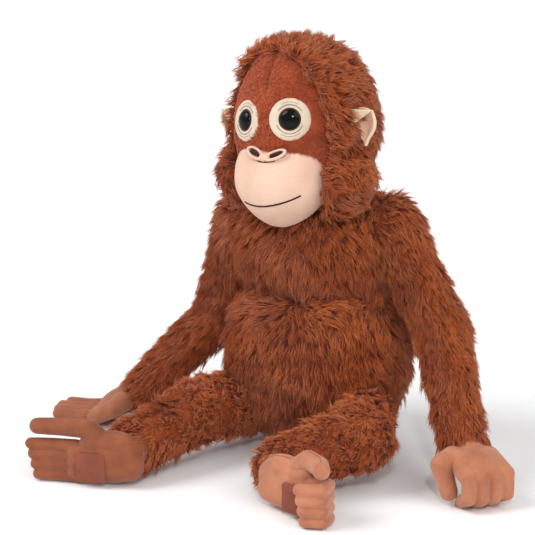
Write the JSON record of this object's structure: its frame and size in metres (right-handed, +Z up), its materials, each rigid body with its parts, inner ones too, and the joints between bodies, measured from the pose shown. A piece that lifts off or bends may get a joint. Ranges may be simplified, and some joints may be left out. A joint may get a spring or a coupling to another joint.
{
  "type": "seated plush ape",
  "caption": "Seated long-haired plush ape with a pale muzzle, suede-like hands and feet, and soft jointed limbs.",
  "frame": {"origin": "middle of the flat seat under the belly, on the floor", "axes": "+Z up, -Y the way the toy faces, +X the toy's own left"},
  "size_m": [0.5324, 0.3205, 0.429],
  "materials": {
    "rust_fur": "long pile plush",
    "short_plush": "short pile plush",
    "skin_suede": "brushed suede-like knit",
    "muzzle_knit": "smooth brushed knit",
    "eye_felt": "cream felt",
    "ear_felt": "cream felt",
    "bead_eye": "glossy",
    "hook_and_loop": "woven loop tape",
    "stuffing": "polyester fibre fill"
  },
  "bodies": {
    "torso": {"belly_fur": "rust_fur", "belly_stuffing": "stuffing", "chest_fur": "rust_fur", "chest_stuffing": "stuffing"},
    "neck": {"neck_stuffing": "stuffing"},
    "head": {"head_fur": "rust_fur", "head_stuffing": "stuffing", "face_panel": "short_plush", "muzzle": "muzzle_knit", "nose": "muzzle_knit", "left_eye_patch": "eye_felt", "right_eye_patch": "eye_felt", "left_eye": "bead_eye", "right_eye": "bead_eye", "left_ear": "ear_felt", "right_ear": "ear_felt"},
    "left_shoulder": {"left_shoulder_stuffing": "stuffing"},
    "left_upper_arm": {"left_upper_arm_fur": "rust_fur", "left_upper_arm_stuffing": "stuffing"},
    "left_forearm": {"left_forearm_fur": "rust_fur", "left_forearm_stuffing": "stuffing"},
    "left_hand": {"left_hand": "skin_suede", "left_palm_patch": "hook_and_loop"},
    "left_fingers": {"left_fingers": "skin_suede"},
    "left_thumb": {"left_thumb": "skin_suede"},
    "left_hip": {"left_hip_stuffing": "stuffing"},
    "left_thigh": {"left_thigh_fur": "rust_fur", "left_thigh_stuffing": "stuffing"},
    "left_shin": {"left_shin_fur": "rust_fur", "left_shin_stuffing": "stuffing"},
    "left_foot": {"left_foot": "skin_suede", "left_sole_patch": "hook_and_loop"},
    "left_toes": {"left_toes": "skin_suede"},
    "left_big_toe": {"left_big_toe": "skin_suede"},
    "right_shoulder": {"right_shoulder_stuffing": "stuffing"},
    "right_upper_arm": {"right_upper_arm_fur": "rust_fur", "right_upper_arm_stuffing": "stuffing"},
    "right_forearm": {"right_forearm_fur": "rust_fur", "right_forearm_stuffing": "stuffing"},
    "right_hand": {"right_hand": "skin_suede", "right_palm_patch": "hook_and_loop"},
    "right_fingers": {"right_fingers": "skin_suede"},
    "right_thumb": {"right_thumb": "skin_suede"},
    "right_hip": {"right_hip_stuffing": "stuffing"},
    "right_thigh": {"right_thigh_fur": "rust_fur", "right_thigh_stuffing": "stuffing"},
    "right_shin": {"right_shin_fur": "rust_fur", "right_shin_stuffing": "stuffing"},
    "right_foot": {"right_foot": "skin_suede", "right_sole_patch": "hook_and_loop"},
    "right_toes": {"right_toes": "skin_suede"},
    "right_big_toe": {"right_big_toe": "skin_suede"}
  },
  "joints": [
    {"name": "neck_turn", "type": "hinge", "parent": "torso", "child": "neck", "pos_m": [-0.002, -0.028, 0.258], "axis": [0, 0, 1], "range_deg": [-45, 45]},
    {"name": "head_nod", "type": "hinge", "parent": "neck", "child": "head", "pos_m": [-0.002, -0.028, 0.258], "axis": [0.9903, -0.1392, 0], "range_deg": [-9, 9]},
    {"name": "left_shoulder_swing", "type": "hinge", "parent": "torso", "child": "left_shoulder", "pos_m": [0.088, -0.01, 0.226], "axis": [-1, 0, 0], "range_deg": [-20, 60]},
    {"name": "left_shoulder_spread", "type": "hinge", "parent": "left_shoulder", "child": "left_upper_arm", "pos_m": [0.088, -0.01, 0.226], "axis": [0, -1, 0], "range_deg": [0, 30]},
    {"name": "left_elbow", "type": "hinge", "parent": "left_upper_arm", "child": "left_forearm", "pos_m": [0.13606, -0.01865, 0.14335], "axis": [-0.8198, 0.2702, -0.5049], "range_deg": [-15, 50]},
    {"name": "left_wrist", "type": "hinge", "parent": "left_forearm", "child": "left_hand", "pos_m": [0.17935, -0.07157, 0.04473], "axis": [0.7176, 0.6965, 0], "range_deg": [-25, 25]},
    {"name": "left_finger_curl", "type": "hinge", "parent": "left_hand", "child": "left_fingers", "pos_m": [0.215, -0.1083, 0.03177], "axis": [0.7176, 0.6965, 0], "range_deg": [-60, 10]},
    {"name": "left_thumb_curl", "type": "hinge", "parent": "left_hand", "child": "left_thumb", "pos_m": [0.16915, -0.11389, 0.03884], "axis": [0.7176, 0.6965, 0], "range_deg": [-20, 20]},
    {"name": "left_hip_raise", "type": "hinge", "parent": "torso", "child": "left_hip", "pos_m": [0.058, -0.038, 0.048], "axis": [-1, 0, 0], "range_deg": [-10, 22]},
    {"name": "left_hip_spread", "type": "hinge", "parent": "left_hip", "child": "left_thigh", "pos_m": [0.058, -0.038, 0.048], "axis": [0, 0, 1], "range_deg": [-15, 15]},
    {"name": "left_knee", "type": "hinge", "parent": "left_thigh", "child": "left_shin", "pos_m": [0.08816, -0.10436, 0.05202], "axis": [0, 0, -1], "range_deg": [-50, 15]},
    {"name": "left_ankle", "type": "hinge", "parent": "left_shin", "child": "left_foot", "pos_m": [0.0378, -0.16129, 0.03451], "axis": [0, 0, 1], "range_deg": [-15, 15]},
    {"name": "left_toe_curl", "type": "hinge", "parent": "left_foot", "child": "left_toes", "pos_m": [0.09629, -0.19976, 0.03451], "axis": [0, 0, -1], "range_deg": [-70, 5]},
    {"name": "left_big_toe_curl", "type": "hinge", "parent": "left_foot", "child": "left_big_toe", "pos_m": [0.07375, -0.19516, 0.05568], "axis": [0, 0, -1], "range_deg": [-25, 15]},
    {"name": "right_shoulder_swing", "type": "hinge", "parent": "torso", "child": "right_shoulder", "pos_m": [-0.09, -0.01, 0.21], "axis": [-1, 0, 0], "range_deg": [-20, 60]},
    {"name": "right_shoulder_spread", "type": "hinge", "parent": "right_shoulder", "child": "right_upper_arm", "pos_m": [-0.09, -0.01, 0.21], "axis": [0, 1, 0], "range_deg": [0, 30]},
    {"name": "right_elbow", "type": "hinge", "parent": "right_upper_arm", "child": "right_forearm", "pos_m": [-0.12174, 0.00443, 0.12055], "axis": [-0.7604, 0.5424, 0.3573], "range_deg": [-25, 45]},
    {"name": "right_wrist", "type": "hinge", "parent": "right_forearm", "child": "right_hand", "pos_m": [-0.19394, -0.0413, 0.03632], "axis": [0.1718, -0.9851, 0], "range_deg": [-25, 25]},
    {"name": "right_finger_curl", "type": "hinge", "parent": "right_hand", "child": "right_fingers", "pos_m": [-0.2393, -0.04921, 0.01047], "axis": [0.1718, -0.9851, 0], "range_deg": [-5, 65]},
    {"name": "right_thumb_curl", "type": "hinge", "parent": "right_hand", "child": "right_thumb", "pos_m": [-0.20824, -0.08115, 0.02457], "axis": [0.1718, -0.9851, 0], "range_deg": [-20, 20]},
    {"name": "right_hip_raise", "type": "hinge", "parent": "torso", "child": "right_hip", "pos_m": [-0.058, -0.038, 0.048], "axis": [-1, 0, 0], "range_deg": [-10, 22]},
    {"name": "right_hip_spread", "type": "hinge", "parent": "right_hip", "child": "right_thigh", "pos_m": [-0.058, -0.038, 0.048], "axis": [0, 0, -1], "range_deg": [-15, 15]},
    {"name": "right_knee", "type": "hinge", "parent": "right_thigh", "child": "right_shin", "pos_m": [-0.0882, -0.10443, 0.05001], "axis": [0, 0, 1], "range_deg": [-8, 50]},
    {"name": "right_ankle", "type": "hinge", "parent": "right_shin", "child": "right_foot", "pos_m": [-0.11518, -0.17601, 0.03476], "axis": [0, 0, 1], "range_deg": [-15, 15]},
    {"name": "right_toe_curl", "type": "hinge", "parent": "right_foot", "child": "right_toes", "pos_m": [-0.17119, -0.21801, 0.03476], "axis": [0, 0, 1], "range_deg": [-5, 60]},
    {"name": "right_big_toe_curl", "type": "hinge", "parent": "right_foot", "child": "right_big_toe", "pos_m": [-0.14898, -0.21203, 0.05568], "axis": [0, 0, 1], "range_deg": [-5, 35]}
  ]
}
